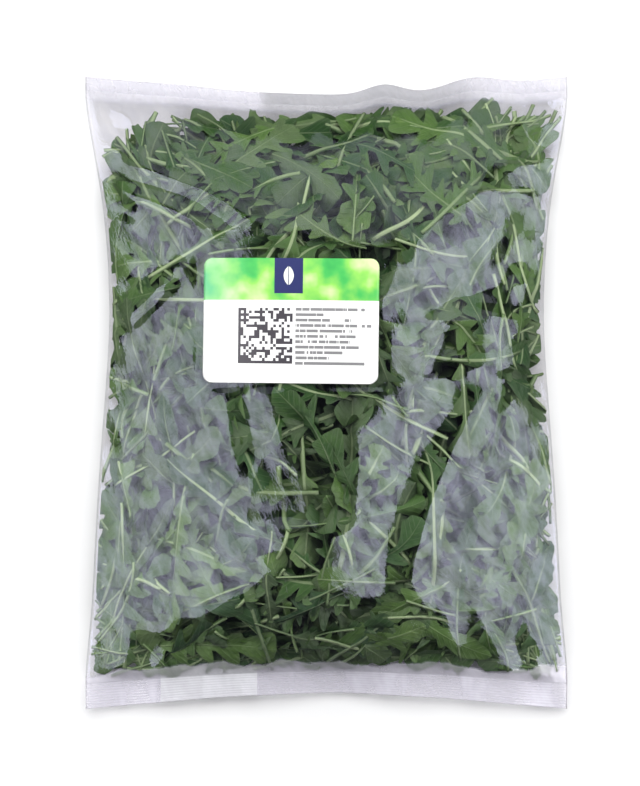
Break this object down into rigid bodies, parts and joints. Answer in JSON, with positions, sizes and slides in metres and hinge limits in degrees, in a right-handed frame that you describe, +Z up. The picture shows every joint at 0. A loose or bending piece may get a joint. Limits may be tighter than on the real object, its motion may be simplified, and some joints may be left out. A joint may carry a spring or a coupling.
{
  "type": "bag of salad leaves",
  "caption": "Clear sealed pillow bag packed with fresh rocket leaves, lying flat, with a white paper label on its front and flat sealed bands at both ends.",
  "frame": {"origin": "on the surface that the bag lies on, under the middle of its bounding box", "axes": "+X across the bag towards its right side fold, +Y along the bag towards its top seal, +Z up out of the labelled front"},
  "size_m": [0.282, 0.3701, 0.068],
  "materials": {
    "clear_film": "clear glossy film, faintly milky",
    "leaf": "fresh rocket leaf, matt, with pale midribs",
    "label_paper": "white satin label with a green printed band"
  },
  "bodies": {
    "root": {"bag": "clear_film", "label": "label_paper"}
  },
  "joints": []
}
